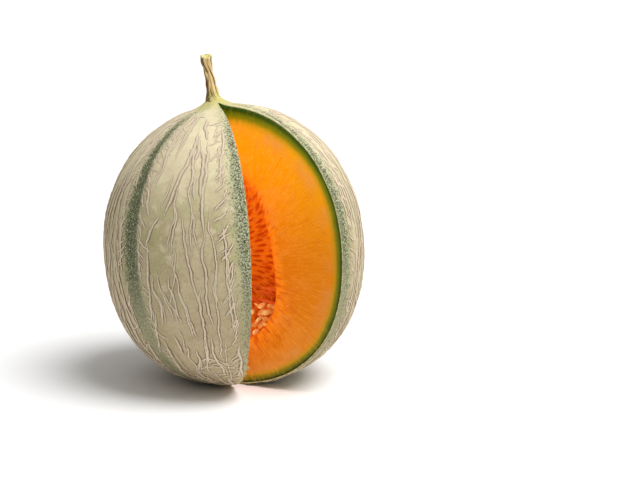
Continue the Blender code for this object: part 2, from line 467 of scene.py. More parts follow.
# The rind: a thin skin with seven speckled green sutures.
rind = {
    "rows": 150,
    "columns": 250,
    "thickness": 0.0005,
    "calmBelow": 0.0009,  # the rind stays flat up to here, where the melon rests
    "raggedPeel": 0.0016,
    "raggedWaves": (41, 29, 83),
    "raggedBelow": math.radians(38),
    "Ripple Height": 0.0007,
    "Ripple Size": 55.0,
    "Grain Height": 0.00016,
    "Grain Size": 420.0,
    "paleSage": tint(204, 190, 152),
    "mossSage": tint(164, 160, 106),
    "warmGrey": tint(172, 150, 118),
    "creamSage": tint(226, 214, 178),
    # painted light, for the paler top of the rind
    "topCream": tint(246, 234, 196),
    "darkSage": tint(128, 124, 88),
    "sutureDark": tint(26, 30, 12),
    "sutureMid": tint(100, 104, 70),
    "sutureFleck": tint(200, 204, 168),
    "sutureFoot": tint(156, 152, 128),
    "blush": tint(150, 158, 112),
    "crownYellow": tint(206, 198, 122),
    "sutureCores": (4.5, 2.9, 2.6, 3.2, 2.8, 3.5, 3.0),  # half width of each dark core, in millimetres
    "sutureDarkness": (1.0, 0.45, 0.7, 0.9, 0.7, 0.9, 0.8),
    "sutureShift": (0, 0.024, 0, 0, 0, 0, 0),  # how far each core lies beside its groove, in radians
    "sutureBorder": 5.4,  # how far its flecks reach past the core
    "sutureFray": 13,  # how far noise pushes the core's edge in and out
    "rim": tint(222, 214, 160),
    "rimGreen": tint(150, 160, 90),
}


def makeRindFinish():
    book = Finish("netted_rind", rind)
    place, smooth, noise = book.place, book.smooth, book.noise
    across = book.attribute("acrossSuture") * 1000  # in millimetres
    rise = book.attribute("rise")  # -1 at the blossom end, 1 at the stem end
    broad = noise(place, 38, 4)
    fine = noise(place, 260, 4)
    grain = noise(place, 1500)
    base = book.mix(smooth(broad, 0.4, 0.66), "paleSage", "mossSage")
    speck = smooth(noise(place, 700, 4, 0.65), 0.52, 0.7) * smooth(rise, 0.8, 0.1)
    base = book.paint(
        base,
        (smooth(fine, 0.42, 0.66) * 0.65, "warmGrey"),
        (smooth(noise(place, 110), 0.54, 0.7) * 0.6, "creamSage"),
        # painted shade: this coat greys the rind towards the bottom; painted light: the coat after the
        # grain makes it paler cream towards the top
        (smooth(rise, 0.35, -0.6) * 0.6, "warmGrey"),
        (smooth(grain, 0.35, 0.75) * 0.3, "creamSage"),
        (smooth(rise + (broad - 0.5) * 0.4, 0.2, 0.85) * 0.62, "topCream"),
        (speck * 0.34, "darkSage"))
    # each suture has a dark core that narrows to the ends, and a wide border of flecks
    fray = (noise(place, 520, 4, 0.8) - 0.5) * rind["sutureFray"]
    halfWidth = book.attribute("core") * (1 - smooth(abs(rise), 0.3, 0.95) * 0.62)
    pale = 1 - smooth(rise, 0.0, -0.6) * 0.65
    core = smooth(across + fray, halfWidth + 1.0, halfWidth - 1.1)
    core = core * smooth(abs(rise), 0.995, 0.86) * pale
    fleck = book.cells(place, 1150)
    dots = book.cells(place, 820)
    edge = 0.62 - (1 - book.attribute("darkness")) * 0.16
    flecked = book.mix(smooth(fleck, 0.22, 0.55), "sutureDark", "sutureMid")
    flecked = book.paint(
        flecked,
        (smooth(noise(place, 1500, 2) - edge, -0.08, 0.06), "sutureFleck"),
        (smooth(rise, 0.0, -0.6) * 0.6, "sutureFoot"))
    border = smooth(across + fray * 0.8, halfWidth + rind["sutureBorder"], halfWidth)
    skin = book.paint(
        base,
        (border * 0.4, "blush"),
        (border * smooth(dots, 0.46, 0.22) * 0.9, "sutureMid"),
        (border * smooth(fleck, 0.3, 0.12) * 0.8, "sutureFleck"),
        (core * 0.95, flecked),
        (book.attribute("crownward"), "crownYellow"))
    pits = smooth(fleck, 0.15, 0.55) * core
    relief = fine * 0.6 + grain * 0.4 + pits * 0.8
    return book.feed({
        "Base Color": skin,
        "Roughness": smooth(fine, 0.2, 0.8, 0.62, 0.82),
        "Specular IOR Level": 0.35,
        "Normal": book.bump(relief, 0.0006, 0.55)})


def makeRimFinish():
    book = Finish("peel_edge", rind)
    blotch = book.noise(book.place, 700)
    return book.feed({
        "Base Color": book.mix(book.smooth(blotch, 0.35, 0.7), "rim", "rimGreen"),
        "Roughness": book.smooth(blotch, 0.2, 0.8, 0.4, 0.6),
        "Normal": book.bump(blotch, 0.0003, 0.4)})


def makeRindMesh():
    turns, tilts = wedgeTurns(rind["columns"]), tiltRows(rind["rows"])
    directions = rays(turns, tilts)
    points = heart + directions * reachAlong(skinLevel, directions)[..., None]
    azimuth, radius = aroundAxis(points)
    # low down, a ragged strip of peel stands out past each cut
    wave, cross, crumb = rind["raggedWaves"]
    ragged = np.abs(np.sin(tilts * wave) * np.sin(tilts * cross + 1) + 0.3 * np.sin(tilts * crumb))
    ragged = ragged * rind["raggedPeel"] * clamp((-tilts - rind["raggedBelow"]) / 0.3)
    ragged = ragged * clamp((tilts + 1.5) / 0.1)
    for side, turn in ((0, wedge["right"]), (-1, wedge["left"])):
        points[:, side] -= cutInward(turn) * ragged[:, None]
    off, nearest = offSuture(azimuth)
    off = off - np.array(rind["sutureShift"])[nearest]
    above = points[..., 2] > 0
    length, _ = halfShape(above)
    crownward = clamp(1 - (fromStem(points) - 0.004) / 0.013) * above
    facts = {
        "acrossSuture": np.abs(off) * radius,
        "core": np.array(rind["sutureCores"])[nearest],
        "darkness": np.array(rind["sutureDarkness"])[nearest],
        "rise": np.clip(points[..., 2] / length, -1, 1),
        "crownward": crownward**1.3,
    }
    return cleaned(meshFrom("rind_grid", toFloor(points), gridFaces(*azimuth.shape), facts))


def makeRind():
    book = GeometryBook("rind_relief", rind)
    spot = book.position()
    broad = (book.noise(spot, book.given("Ripple Size"), 2.0, 0.55) - 0.5) * book.given("Ripple Height")
    small = (book.noise(spot, book.given("Grain Size"), 2.0, 0.55) - 0.5) * book.given("Grain Height")
    lift = book.vector("SCALE", book.wire("GeometryNodeInputNormal"), broad + small)
    _, _, height = book.parts(spot)
    above = book.wire("FunctionNodeCompare", {"data_type": "FLOAT", "operation": "GREATER_THAN"},
                      {0: height, 1: rind["calmBelow"]})
    moved = book.moved(book.given("Geometry"), {"Selection": above, "Offset": lift})
    book.finish(moved, makeRindFinish())
    skin = addPiece(book.grow("rind", makeRindMesh()), ["melon_fruit"])
    skin.data.materials.append(makeRimFinish())
    wall = skin.modifiers.new("wall", "SOLIDIFY")
    wall.thickness = rind["thickness"]
    wall.offset = -1
    wall.material_offset_rim = 1
    return skin


# The flesh: two cuts and the wall of the seed cavity, closed behind the rind.
flesh = {
    "rows": 190,
    "backColumns": 60,
    "cutColumns": 44,
    "wallColumns": 150,
    "wallCrowding": 0.45,
    "lipColumns": 40,  # how many of the wall's columns the soft edge of a cut may move
    "socketDepth": 0.002,
    "socketFan": 12.0,  # sockets in a radian, fanned out from the middle of the back wall
    "socketLong": 0.0084,
    "socketZone": 0.044,  # how far above and below the cavity's widest part they reach
    "shadeAside": 0.95,  # the hollow's painted shade lies this far past the pocket, in radians
    "shadeTall": 0.008,
    "skinGreen": tint(48, 76, 8),
    "midGreen": tint(122, 128, 8),
    "limeOrange": tint(206, 160, 16),
    "dustyOrange": tint(232, 160, 78),
    "brightOrange": tint(252, 172, 0),
    "paintedShadeOrange": tint(236, 142, 0),
    "redOrange": tint(250, 152, 18),
    "socketRed": tint(206, 76, 4),
    "fibre": tint(255, 176, 60),
    "deepStreak": tint(222, 118, 0),
    "paintedShadeMaroon": tint(128, 26, 6),
    "cloudy": tint(255, 182, 80),
    "paleSpeck": tint(255, 200, 96),
    "glow": 0.3,  # how brightly the flesh glows: painted light in place of the light it lets through round the cavity, and at the top
}


def scatter(first, second, spread):  # a fixed jitter for each cell of a grid
    waves = first * 12.9898 + second * 78.233 + np.sin(first * 3.1 + second * 1.7) * 43.7
    return spread * np.sin(waves)


def socketPattern(fan, reach):  # seed sockets in fanned rows: 0 between them, 1 in the middle of one
    column = fan * flesh["socketFan"]
    number = np.floor(column)
    row = reach / flesh["socketLong"] + 0.5 * (number % 2) + scatter(number, 0, 0.3)
    line = np.floor(row)
    across = column - number - 0.5
    along = row - line - 0.5
    width = 0.29 * (1 + along * 0.6) + scatter(line, number + 3, 0.05)
    return clamp(1.15 - (across / width) ** 2 - (along / 0.42) ** 2) ** 0.8


# Moves what lies near the edge of a cut and the cavity on to a round edge.
def softenLip(points, fromCut, fromWall, inward, outward, share):
    lip = cavity["lip"]
    onCut = fromWall >= fromCut
    turn = np.where(onCut, 1 - clamp(fromWall / lip), 1 + clamp(fromCut / lip))
    turn = turn * math.pi / 4
    moved = (fromWall < lip) & (fromCut < lip)
    cutMove = np.where(moved, lip * (1 - np.cos(turn)) - fromCut, 0)
    wallMove = np.where(moved, lip * (1 - np.sin(turn)) - fromWall, 0)
    return points + (inward * cutMove[..., None] + outward * wallMove[..., None]) * share[:, None, None]


def outOfCavity(points):
    outward = slope(cavityLevel, points)
    return outward / np.linalg.norm(outward, axis=-1, keepdims=True)


def makeFleshMesh():
    tilts = tiltRows(flesh["rows"])
    backRays = rays(wedgeTurns(flesh["backColumns"]), tilts)
    wallRays = rays(wedgeTurns(flesh["wallColumns"], flesh["wallCrowding"]), tilts)
    # the back lies under the rind, and below the suture grooves between its two edges
    column = np.arange(flesh["backColumns"])
    sink = np.minimum(column, column[::-1]).clip(0, 1) * melon["sutureDepth"] + rind["thickness"]
    back = heart + backRays * (reachAlong(skinLevel, backRays) - sink)[..., None]
    # all sheets meet in one point at each end, so what shapes the wall fades out there
    fade = clamp((math.pi / 2 - np.abs(tilts)) / 0.3)
    bare = heart + wallRays * reachAlong(cavityLevel, wallRays)[..., None]
    azimuth, _ = aroundAxis(bare)
    aside = np.abs(azimuth % math.tau - wedgeMiddle - math.pi) * cavity["radius"]
    up = bare[..., 2] - cavity["widest"]
    fan, reach = np.arctan2(up, aside + 0.002), np.hypot(up, aside)
    calm = clamp(1 - np.abs(up) / flesh["socketZone"]) ** 0.4
    sockets = socketPattern(fan, reach) * calm * fade[:, None]
    wall = bare + outOfCavity(bare) * (sockets * flesh["socketDepth"])[..., None]
    shares = np.linspace(0, 1, flesh["cutColumns"]) ** 1.5
    column = np.arange(flesh["wallColumns"])
    cuts = []
    for side, turn in ((0, wedge["right"]), (-1, wedge["left"])):
        inward = cutInward(turn)
        edge = bare[:, side, None]
        cut = edge + (back[:, side, None] - edge) * shares[None, :, None]
        fromWall = np.linalg.norm(cut - edge, axis=-1)
        cuts.append(softenLip(cut, np.zeros_like(fromWall), fromWall, inward, outOfCavity(cut), fade))
        near = (column if side == 0 else column[::-1]) < flesh["lipColumns"]
        fromCut = np.where(near, np.abs((wall - heart) @ inward), 1)
        wall = softenLip(wall, fromCut, np.zeros_like(fromCut), inward, outOfCavity(wall), fade)
    cuts[0][:, 0] = wall[:, 0]
    cuts[1][:, 0] = wall[:, -1]
    sheets = (back, wall, *cuts)
    starts = np.cumsum([0] + [sheet[..., 0].size for sheet in sheets])
    faces = [gridFaces(*sheet.shape[:2], start, flip=number % 2 == 1)
             for number, (sheet, start) in enumerate(zip(sheets, starts))]
    points = np.concatenate([sheet.reshape(-1, 3) for sheet in sheets])
    onWall = slice(starts[1], starts[2])
    socket = np.zeros(len(points))
    socket[onWall] = sockets.ravel()
    azimuth, radius = aroundAxis(points)
    # painted shade: a dark patch in the hollow round the heap of seeds
    hollowShade = azimuth - cavity["pocketTurn"] - flesh["shadeAside"]
    low = (points[:, 2] - cavity["pocketHeight"] - 0.002) / flesh["shadeTall"]
    facts = {
        "skinDepth": depthBelow(skinLevel, points),
        "cavityDepth": -depthBelow(cavityLevel, points),
        "socket": socket,
        "rise": points[:, 2] / melon["stemEnd"],
        "pocket": np.exp(-2 * hollowShade**2 - 0.5 * low**2),
    }
    uv = np.stack([np.arctan2(points[:, 2] - cavity["widest"], radius), facts["cavityDepth"]], axis=-1)
    uv[onWall] = np.stack([fan.ravel(), reach.ravel()], axis=-1)
    return cleaned(meshFrom("flesh", toFloor(points), np.concatenate(faces), facts, uv))


def makeFleshFinish():
    book = Finish("melon_flesh", flesh)
    place, smooth, noise = book.place, book.smooth, book.noise
    depth = book.attribute("skinDepth") * 1000  # in millimetres, like core and band
    core = book.attribute("cavityDepth") * 1000
    rise = book.attribute("rise")
    wander = (noise(place, 90) - 0.5) * 2.4
    top = smooth(rise, 0.45, 1.0) * 0.9 + 1.0  # the green reaches deeper at the stem end
    band = (depth + wander * 0.6) / top
    outer = smooth(band, 6, 12)
    # painted shade: the flesh is painted darker orange towards the bottom
    body = book.mix(smooth(rise + wander * 0.05, 0.55, -0.45), "brightOrange", "paintedShadeOrange")
    dusty = smooth(band, 14.0, 7.0) * smooth(noise(place, 60, 3, 0.55), 0.35, 0.65)
    body = book.mix(dusty * 0.7, body, "dustyOrange")
    # fibres run out from the cavity, the flesh reddens towards it, and sockets mark its edge
    sheet = book.wire("ShaderNodeUVMap", {"uv_map": "UVMap"})
    fibre = noise(book.stretch(sheet, (60, 200, 1)), 1.0, 4, 0.6, 0.7)
    streak = noise(book.stretch(sheet, (26, 110, 1)), 1.0, 4, 0.65, 1.0)
    hairs = noise(book.stretch(sheet, (130, 85, 1)), 1.0, 3, 0.6, 0.6)
    dab = book.cells(book.stretch(sheet, (17, 150, 1)), 1.0)
    foot = smooth(rise, -0.15, -0.42) * smooth(rise, -0.95, -0.6)
    reach = 4.2 + foot * 5.0
    red = smooth(core + (fibre - 0.5) * 8, reach + 2.0, reach - 3.0)
    dabs = smooth(dab + (fibre - 0.5) * 0.35, 0.5, 0.24) * smooth(core + (streak - 0.5) * 9, 5.6, 2.4)
    dark = (dabs * 0.75).most(smooth(book.attribute("socket"), 0.1, 0.75) * 0.85)
    stringy = smooth(streak, 0.5, 0.66) * smooth(core, reach + 7.0, reach - 2.0) * foot
    pale = smooth(noise(place, 420, 4, 0.7), 0.52, 0.78) * 0.34
    cloud = smooth(noise(place, 62, 4, 0.7), 0.44, 0.62) * smooth(core, 24, 5) * smooth(core, 1, 5)
    speckle = smooth(noise(place, 950), 0.5, 0.7) * smooth(band, 5, 9)
    # painted shade, maroon, in the hollow behind the seeds
    hollowShade = book.attribute("pocket") * smooth(core, 3.0, 1.0) * smooth(fibre, 0.35, 0.6)
    colour = book.mix(smooth(band, 0.8, 2.6), "skinGreen", "midGreen")
    colour = book.paint(
        colour,
        (smooth(band, 2.4, 4.4), "limeOrange"),
        (smooth(band, 3.4, 6.6), body),
        (red, "redOrange"),
        (smooth(fibre, 0.52, 0.66) * smooth(core, 34.0, 4.0) * 0.85, "fibre"),
        (smooth(hairs, 0.52, 0.66) * outer * 0.45, "fibre"),
        (smooth(hairs, 0.46, 0.34) * outer * 0.45, "deepStreak"),
        (dark, "socketRed"),
        (stringy * 0.8, "socketRed"),
        (smooth(streak, 0.5, 0.36) * outer * 0.16, "deepStreak"),
        (pale * smooth(depth, 3, 8), "paleSpeck"),
        (cloud * 0.42, "cloudy"),
        (speckle * 0.32, "deepStreak"),
        (hollowShade * 0.9, "paintedShadeMaroon"))
    # painted light: the flesh glows round the cavity, in place of the light it lets through, and at the
    # top, which is painted brighter
    lit = (smooth(core, 8.0, -1.0) * 0.85).most(smooth(rise, -0.2, 0.9))
    lit = book.mix(lit, (0.0, 0.0, 0.0), (1.0, 1.0, 1.0))
    wet = noise(place, 700)
    relief = fibre * 0.5 + wet * 0.3 + noise(place, 240) * 0.6
    return book.feed({
        "Base Color": colour,
        "Emission Color": book.mix(1.0, lit, colour, "MULTIPLY"),
        "Emission Strength": flesh["glow"],
        "Roughness": smooth(wet, 0.3, 0.7, 0.34, 0.55),
        "Specular IOR Level": 0.22,
        "Normal": book.bump(relief, 0.0009, 0.5)})


# The netting: corky cords that run down each panel, with short ones aslant beside the sutures.
netting = {
    "frontPanel": 0,  # the panel after the first suture has fewer cords
    "frontColumns": 13,
    "otherColumns": 21,
    "panelShare": 0.8,  # how much of a panel's width the long cords take
    "cordTop": 78,  # the highest and the lowest latitude of a long cord's start, in degrees
    "cordSpans": (12, 46),
    "crowdedAbove": 38,  # half of the cords are left out above this latitude
    "forks": 0.3,
    "hatches": 78,  # on each side of a suture
    "hatchShare": 0.86,
    "hatchLengths": (0.003, 0.0105),
    "footCords": 26,  # in each panel
    "lowest": 0.0012,  # cords end here, so that none lies under the resting spot
    "guideLift": 1.012,  # keeps the guides clear of the rind, so that its outside is nearest
    "ringPoints": 10,
    "sectors": 3,  # pieces that the netting is made in, round the fruit
    "step": 0.0013,
    "seed": 11,
    "Cord Width": 0.0024,
    "Cord Height": 0.00062,
    "Wander": 0.0024,
    "Wander Size": 210.0,
    "Sink": 0.0001,
    "pale": tint(222, 204, 178),
    # the cords' flanks: their cracks, and painted shade in the creases
    "dark": tint(112, 92, 68),
    "dull": tint(196, 192, 158),
}

skinAngle = 1 / melon["equatorRadius"]  # radians round the fruit in a metre of skin


def onSkin(azimuth, latitude):
    length, fullness = halfShape(latitude > 0)
    sine, cosine = np.abs(np.sin(latitude)), np.maximum(np.cos(latitude), 1e-6)
    radius = melon["equatorRadius"] * cosine ** (2 / fullness)
    radius = radius - grooveDepth(azimuth, sine)
    height = np.sign(latitude) * length * sine ** (2 / fullness)
    return np.stack([radius * np.sin(azimuth), -radius * np.cos(azimuth), height], axis=-1)


def besideCuts(points):  # True where the rind has been left, a little away from the cuts
    away = points[..., :2] - heart[:2] - points[..., 2:3] * (upLine[:2] / upLine[2])
    turn, distance = aroundAxis(away)
    margin = 0.0005 / np.maximum(distance, 0.004)
    return (turn < wedge["left"] - margin) | (turn > wedge["right"] + margin)


def meander(chance, length, reach):  # a smooth sideways wander along a cord
    along = np.linspace(0, 1, length)
    waves = sum(chance.normal() * np.sin(along * k * 2.2 + chance.uniform(0, math.tau)) / k**0.9
                for k in range(1, 8))
    knots = max(length // 4, 2)
    kinks = np.interp(along, np.linspace(0, 1, knots + 1), chance.normal(size=knots + 1))
    return (waves + kinks * 0.55) * reach


# Each path is its azimuths, its latitudes and its thickness. Across a panel, places run from -1 to 1.
def panelCords(chance, middle, half, columns):
    paths = []
    for column in range(columns):
        place = ((column + chance.uniform(0.15, 0.85)) / columns * 2 - 1) * netting["panelShare"]
        latitude = math.radians(netting["cordTop"] - chance.uniform(0, 26))
        while latitude > -math.radians(netting["cordTop"]):
            span = math.radians(chance.uniform(*netting["cordSpans"]))
            low = max(latitude - span, math.radians(-80))
            count = max(int((latitude - low) * 0.068 / netting["step"]), 5)
            lats = np.linspace(latitude, low, count)
            drift = chance.normal() * 0.09
            side = place + drift * np.linspace(-1, 1, count) + meander(chance, count, 0.028)
            crowded = latitude > math.radians(netting["crowdedAbove"]) and chance.random() < 0.5
            if not crowded:
                paths.append((middle + side * half, lats, chance.uniform(0.62, 1.2)))
            if chance.random() < netting["forks"] and count > 12:
                cut = int(count * chance.uniform(0.2, 0.7))
                bend = chance.choice((-1, 1)) * np.linspace(0, 1, count - cut) ** 0.7
                forked = side[cut:] + bend * chance.uniform(0.05, 0.12)
                paths.append((middle + forked * half, lats[cut:], chance.uniform(0.55, 0.9)))
            latitude = low - math.radians(chance.uniform(1, 13))
            place += chance.normal() * 0.03
    return paths


def footCords(chance, middle, half):  # nearly level ones, most of them low on the fruit
    paths = []
    for _ in range(netting["footCords"]):
        low = chance.random() < 0.8
        latitude = math.radians(-chance.uniform(40, 76) if low else chance.uniform(60, 80))
        width = chance.uniform(0.25, 0.7)
        count = int(width * half / skinAngle * math.cos(latitude) / netting["step"]) + 6
        side = chance.uniform(-0.85, 0.85 - width) + width * np.linspace(0, 1, count)
        arch = chance.uniform(0.01, 0.07) * np.sin(np.linspace(0, math.pi, count))
        lats = latitude + arch + meander(chance, count, 0.006)
        paths.append((middle + side * half, lats, chance.uniform(0.5, 0.85)))
    return paths


def hatchCords(chance, suture, direction):  # short ones that slant down, away from a suture
    paths = []
    for latitude in np.radians(np.linspace(66, -70, netting["hatches"])):
        if chance.random() > netting["hatchShare"]:
            continue
        length = chance.uniform(*netting["hatchLengths"])
        steep = chance.uniform(0.35, 1.35)
        count = max(int(length / netting["step"]) + 2, 4)
        start = chance.uniform(0.0036, 0.0062) * (0.35 + 0.65 * math.cos(latitude))
        out = start + np.linspace(0, 1, count) * length * math.cos(steep)
        down = np.linspace(0, 1, count) ** 1.2 * length * math.sin(steep)
        across = out * skinAngle / math.cos(latitude)
        lats = latitude + chance.normal() * 0.02 - down * skinAngle + meander(chance, count, 0.004)
        paths.append((suture + direction * across, lats, chance.uniform(0.42, 0.8)))
    return paths


def cordPaths():
    chance = np.random.default_rng(netting["seed"])
    ends = np.concatenate([sutures, sutures[:1] + math.tau])
    paths = []
    for panel in range(melon["sutureCount"]):
        first, last = ends[panel], ends[panel + 1]
        middle, half = (first + last) / 2, (last - first) / 2
        columns = netting["frontColumns" if panel == netting["frontPanel"] else "otherColumns"]
        paths += panelCords(chance, middle, half, columns)
        paths += footCords(chance, middle, half)
    for suture in sutures:
        paths += hatchCords(chance, suture, -1)
        paths += hatchCords(chance, suture, 1)
    return paths


def makeCordGuides(sector):
    chance = np.random.default_rng(netting["seed"] + 1 + sector)
    wide = (math.tau - wedge["right"] + wedge["left"]) / netting["sectors"]
    points, edges, thickness, total = [], [], [], 0
    for azimuth, latitude, width in cordPaths():
        if int((azimuth.mean() - wedge["right"]) % math.tau / wide) % netting["sectors"] != sector:
            continue
        path = onSkin(azimuth, latitude)
        kept = besideCuts(path) & (toFloor(path)[:, 2] > netting["lowest"])
        for run in np.split(np.arange(len(path)), np.flatnonzero(np.diff(kept.astype(int))) + 1):
            if len(run) < 4 or not kept[run[0]]:
                continue
            along = np.clip(np.linspace(0, 1, len(run)), 0.008, 0.992)
            ends = clamp(np.sin(math.pi * along) * 1.6) ** 0.8
            points.append(toFloor(path[run] * netting["guideLift"]))
            thickness.append(width * ends * chance.uniform(0.72, 1.18, len(run)))
            edges.append(np.stack([np.arange(len(run) - 1), np.arange(1, len(run))], axis=-1) + total)
            total += len(run)
    mesh = bpy.data.meshes.new("cord_guides")
    mesh.from_pydata(np.concatenate(points).tolist(), np.concatenate(edges).tolist(), [])
    setAttribute(mesh, "thickness", np.concatenate(thickness))
    return mesh


def makeNettingFinish():
    book = Finish("corky_netting", netting)
    place, smooth = book.place, book.smooth
    blotch = book.noise(place, 900)
    # painted shade: the cords' flanks are painted dark, partly their own cracks and partly the shade in
    # the creases beside them, and lighter higher up; their crests are pale
    crest = smooth(book.attribute("ridge") + (blotch - 0.5) * 0.45, 0.46, 0.86)
    _, _, height = book.parts(place)
    edge = book.mix(smooth(height, 0.085, 0.125) * 0.5, "dark", "pale")
    dull = smooth(book.noise(place, 60, 3, 0.55), 0.4, 0.7)
    return book.feed({
        "Base Color": book.paint(edge, (crest, "pale"), (dull * 0.35, "dull")),
        "Roughness": smooth(blotch, 0.2, 0.8, 0.75, 0.9),
        "Specular IOR Level": 0.25,
        "Normal": book.bump(blotch, 0.0003, 0.5)})


def makeNetting(skin):
    book = GeometryBook("rind_netting", netting)
    drift = book.noise(book.position(), book.given("Wander Size"), 2.0, 0.5, output="Color")
    push = book.vector("SCALE", book.vector("SUBTRACT", drift, (0.5, 0.5, 0.5)), book.given("Wander"))
    moved = book.moved(book.given("Geometry"), {"Offset": push})
    # the guides drop to the nearest rind and keep its outward direction
    settings = {"transform_space": "RELATIVE"}
    surface = book.wire("GeometryNodeObjectInfo", settings, {"Object": skin}, "Geometry")
    settings = {"target_element": "FACES"}
    nearest = book.wire("GeometryNodeProximity", settings, {"Geometry": surface}, "Position")
    outward = book.wire("GeometryNodeSampleNearestSurface", {"data_type": "FLOAT_VECTOR"},
                        {"Mesh": surface, "Value": book.wire("GeometryNodeInputNormal")})
    kept = book.stored(moved, "outward", outward, "FLOAT_VECTOR")
    sunk = book.vector("SCALE", outward, book.given("Sink") * book.named("thickness") * -1)
    laid = book.moved(kept, {"Position": book.vector("ADD", nearest, sunk)})
    line = book.wire("GeometryNodeMeshToCurve", None, {"Mesh": laid})
    turned = book.wire("GeometryNodeSetCurveNormal", {"mode": "FREE"},
                       {"Curve": line, "Normal": book.named("outward", "FLOAT_VECTOR")})
    # a ring whose height is cubed has skirts that flare out
    ring = book.wire("GeometryNodeCurvePrimitiveCircle", None,
                     {"Resolution": netting["ringPoints"], "Radius": 1.0})
    up, side, _ = book.parts(book.position())
    peak = book.moved(ring, {"Position": book.joined({"X": up**3, "Y": side})})
    flat = book.joined({"X": book.given("Cord Height"), "Y": book.given("Cord Width") * 0.5, "Z": 1.0})
    profile = book.wire("GeometryNodeTransform", None,
                        {"Geometry": book.stored(peak, "ridge", up), "Scale": flat})
    cords = book.wire("GeometryNodeCurveToMesh", None,
                      {"Curve": turned, "Profile Curve": profile,
                       "Scale": book.named("thickness"), "Fill Caps": True})
    book.finish(cords, makeNettingFinish())
    for sector in range(netting["sectors"]):
        addPiece(book.grow(f"netting_{sector + 1}", makeCordGuides(sector)))


# The stem: a dry, ridged stalk with a knobbed cut end, that flares into the crown.
stem = {
    "length": 0.0215,
    "footRadius": 0.0035,
    "waistRadius": 0.0022,
    "topRadius": 0.0029,
    "waistAt": 0.74,
    "bend": 0.0013,
    "skirtRadius": 0.0058,
    "skirtShare": 0.2,
    "buried": 0.0018,  # how far the skirt runs down over the crown
    "cutSlope": 0.35,  # tilt of the cut end towards the front
    "cutRings": ((0.94, 0.0003), (0.8, 0.00035), (0.62, 0.0001),  # share of the radius, and height
                 (0.42, -0.0002), (0.2, -0.0004), (0, -0.0005)),
    "rows": 70,
    "columns": 72,
    "ridges": 7,
    "ridgeDepth": 0.13,
    "twist": 0.9,
    "straw": tint(240, 210, 148),
    "palePith": tint(232, 222, 150),
    "brown": tint(104, 68, 34),
    "pit": tint(70, 60, 26),
}


def stemRadius(share):
    below = clamp(1 - share / stem["waistAt"])
    above = clamp((share - stem["waistAt"]) / (1 - stem["waistAt"]))
    radius = stem["waistRadius"] + (stem["footRadius"] - stem["waistRadius"]) * below**1.8
    flare = clamp(1 - share / stem["skirtShare"]) ** 2
    skirt = flare * (stem["skirtRadius"] - stem["footRadius"])
    knob = stem["topRadius"] - stem["waistRadius"]
    return radius + skirt + knob * np.sin(above * math.pi / 2) ** 1.5


def makeStemMesh():
    share = np.linspace(0, 1, stem["rows"])[:, None]
    around = np.linspace(0, math.tau, stem["columns"] + 1)[None]
    turned = around + stem["twist"] * share + 0.25 * np.sin(share * 9)
    ridge = np.cos(turned * stem["ridges"]) * 0.6 + np.cos(turned * 3 + share * 7 + 1) * 0.4
    ridge = ridge + 0.35 * np.cos(turned * 17 + share * 15)
    lump = 0.05 * np.sin(share * 24 + np.cos(turned) * 2)
    ridge = ridge * np.clip(share * 6, 0.25, 1)
    radius = stemRadius(share) * (1 + stem["ridgeDepth"] * ridge + lump)
    foot = melon["stemEnd"] + melon["crownHeight"] - stem["buried"]
    middle = -stem["bend"] * np.sin(share * math.pi / 2) ** 1.4
    height = foot + (stem["length"] + stem["buried"] - 0.0003) * share + 0 * around
    points = np.stack([middle + radius * np.cos(around), radius * np.sin(around), height], axis=-1)
    points[..., 2] += stem["cutSlope"] * points[..., 1] * clamp(share * 8 - 7)
    points[:, -1] = points[:, 0]
    # both ends close in one point, the top one over a few rings of the cut
    base = points[0].mean(axis=0)
    centre = points[-1, :-1].mean(axis=0)
    line = np.ones((1, points.shape[1]))
    rings = [np.broadcast_to(base, (1, *points[0].shape)), points]
    facts = [0 * line, ridge * np.ones_like(points[..., 0])]
    cut = [0 * line, np.zeros_like(points[..., 0])]
    for inset, lift in stem["cutRings"]:
        ring = centre + (points[-1] - centre) * inset
        ring[:, 2] += lift + 0.00022 * np.sin(around[0] * 5 + inset * 9) * min(inset * 5, 1)
        rings.append(ring[None])
        facts.append(0.3 * line)
        cut.append((1.0 if inset < 0.9 else 0.6) * line)
    grid = np.concatenate(rings)
    rise = (grid[..., 2] - grid[..., 2].min()) / np.ptp(grid[..., 2])
    attributes = {
        "ridge": np.concatenate(facts),
        "cutEnd": np.concatenate(cut),
        "rise": rise,
        "shadowSide": 0.5 - grid[..., 0] / 0.006 - rise * 0.25,
    }
    grown = np.array(Euler((0, -melon["stemLeft"], 0)).to_matrix())
    mesh = meshFrom("stem_visual", toFloor(grid @ grown.T), gridFaces(*grid.shape[:2]), attributes)
    return cleaned(mesh, 0.0000005)


def makeStem():
    book = Finish("dry_stem", stem)
    place, smooth = book.place, book.smooth
    streak = book.noise(book.stretch(place, (900, 900, 90)), 1.0, 4, 0.65)
    grain = book.noise(place, 1600)
    bark = smooth(book.attribute("ridge") + streak * 0.8, -0.55, 0.75)
    green = smooth(book.attribute("rise") + (grain - 0.5) * 0.1, 0.3, 0.08)
    brown = smooth(book.attribute("shadowSide") + (streak - 0.5) * 1.3, 0.66, 0.96)
    pith = book.mix(smooth(book.cells(place, 1100), 0.42, 0.22), "palePith", "pit")
    colour = book.paint(
        book.mix(bark, "brown", "straw"),
        (green * 0.85, rind["crownYellow"]),
        (brown * 0.8, "brown"),
        (smooth(book.attribute("cutEnd") + (grain - 0.5) * 0.5, 0.4, 0.7), pith))
    material = book.feed({
        "Base Color": colour,
        "Roughness": smooth(grain, 0.2, 0.8, 0.7, 0.9),
        "Specular IOR Level": 0.3,
        "Normal": book.bump(streak + grain * 0.5, 0.0006, 0.8)})
    addPiece(makeStemMesh(), ["stem"], material)


